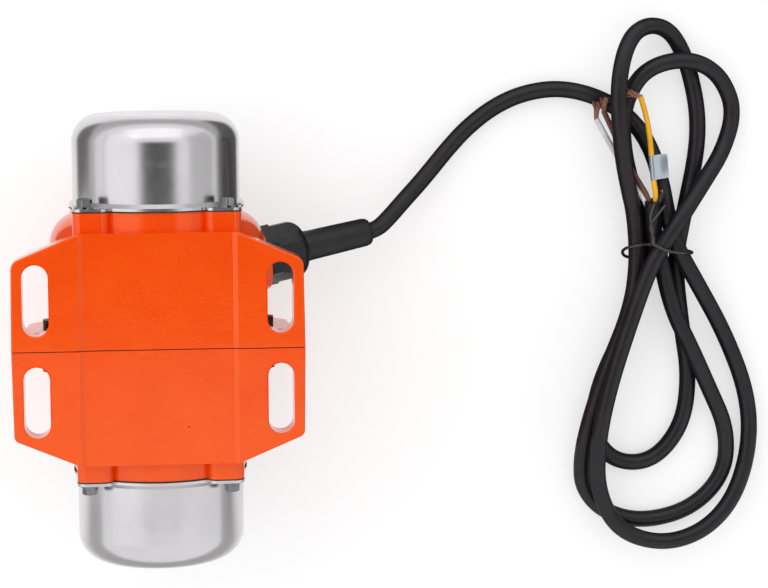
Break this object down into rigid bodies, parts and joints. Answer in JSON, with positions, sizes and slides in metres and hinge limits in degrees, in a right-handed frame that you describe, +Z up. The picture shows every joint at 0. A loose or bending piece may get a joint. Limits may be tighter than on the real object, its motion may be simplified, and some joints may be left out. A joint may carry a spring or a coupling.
{
  "type": "vibration motor",
  "caption": "Three-phase induction vibration motor: orange cast housing with slotted mounting plate, steel weight caps at both ends, and a black cord from a side gland, tied in a hank.",
  "frame": {"origin": "under the middle of the motor, on the surface that it lies on with its mounting face up", "axes": "+X along the shaft towards the end with the cable gland, +Z up out of the mounting face, -Y to the side where the cord leaves"},
  "size_m": [0.247, 0.3384, 0.089],
  "materials": {
    "orange_enamel": "gloss sprayed enamel on cast aluminium",
    "stainless": "satin drawn stainless steel",
    "zinc_steel": "zinc plated",
    "dark_steel": "blackened",
    "gasket_paper": "dark sealing paper",
    "lamination": "stacked electrical steel",
    "copper_winding": "enamelled copper wire, varnished",
    "cast_alloy": "as cast",
    "turned_steel": "turned and ground",
    "bearing_steel": "polished",
    "pressed_brass": "pressed",
    "weight_iron": "sawn and drilled steel plate, oiled",
    "gland_nylon": "fine matt moulding",
    "black_rubber": "matt",
    "cord_sheath": "semi-matt flexible sheath",
    "tie_plastic": "matt",
    "yellow_core": "satin insulation",
    "brown_core": "satin insulation",
    "clear_core": "satin insulation",
    "black_core": "satin insulation",
    "bare_copper": "bare tinned strands, dull",
    "label_foil": "blank foil flag"
  },
  "bodies": {
    "housing": {"bearing_circlips": "dark_steel", "cap_screws": "zinc_steel", "cap_washers": "zinc_steel", "clamp_nuts": "dark_steel", "clamp_screws": "dark_steel", "copper_ends": "bare_copper", "cord_boot": "black_rubber", "cord_hank": "cord_sheath", "cord_lead": "cord_sheath", "core_black": "black_core", "core_brown": "brown_core", "core_clear": "clear_core", "core_yellow": "yellow_core", "gland_body": "gland_nylon", "gland_end_bearing_outer_ring": "bearing_steel", "gland_end_cap": "stainless", "gland_end_cap_gasket": "gasket_paper", "gland_end_housing": "orange_enamel", "gland_nut": "gland_nylon", "gland_seal": "black_rubber", "gland_washer": "black_rubber", "plain_end_bearing_outer_ring": "bearing_steel", "plain_end_cap": "stainless", "plain_end_cap_gasket": "gasket_paper", "plain_end_housing": "orange_enamel", "preload_washer": "dark_steel", "seam_gasket": "gasket_paper", "stator_core": "lamination", "stator_windings": "copper_winding", "twist_tie": "tie_plastic", "wire_label": "label_foil"},
    "rotor": {"shaft": "turned_steel", "rotor_core": "lamination", "squirrel_cage": "cast_alloy", "weight_keys": "turned_steel", "weight_sleeves": "turned_steel", "end_washers": "turned_steel", "end_clips": "dark_steel", "gland_end_bearing_inner_ring": "bearing_steel", "gland_end_inner_weight": "weight_iron", "plain_end_bearing_inner_ring": "bearing_steel", "plain_end_inner_weight": "weight_iron"},
    "gland_end_outer_weight": {"gland_end_outer_weight": "weight_iron", "gland_end_weight_screw": "turned_steel"},
    "gland_end_bearing_cage": {"gland_end_bearing_cage": "pressed_brass", "gland_end_bearing_balls": "bearing_steel"},
    "plain_end_outer_weight": {"plain_end_outer_weight": "weight_iron", "plain_end_weight_screw": "turned_steel"},
    "plain_end_bearing_cage": {"plain_end_bearing_cage": "pressed_brass", "plain_end_bearing_balls": "bearing_steel"}
  },
  "joints": [
    {"name": "rotor_spin", "type": "hinge", "parent": "housing", "child": "rotor", "pos_m": [0, 0, 0.047], "axis": [1, 0, 0], "continuous": true},
    {"name": "gland_end_weight_setting", "type": "hinge", "parent": "rotor", "child": "gland_end_outer_weight", "pos_m": [0.0769, 0, 0.047], "axis": [1, 0, 0], "range_deg": [0, 180]},
    {"name": "gland_end_cage_roll", "type": "hinge", "parent": "housing", "child": "gland_end_bearing_cage", "pos_m": [0.0465, 0, 0.047], "axis": [1, 0, 0], "continuous": true},
    {"name": "plain_end_weight_setting", "type": "hinge", "parent": "rotor", "child": "plain_end_outer_weight", "pos_m": [-0.0769, 0, 0.047], "axis": [1, 0, 0], "range_deg": [0, 180]},
    {"name": "plain_end_cage_roll", "type": "hinge", "parent": "housing", "child": "plain_end_bearing_cage", "pos_m": [-0.0465, 0, 0.047], "axis": [1, 0, 0], "continuous": true}
  ],
  "couplings": [
    {"joint": "gland_end_cage_roll", "follows": "rotor_spin", "ratio": 0.38421},
    {"joint": "plain_end_cage_roll", "follows": "rotor_spin", "ratio": 0.38421}
  ]
}
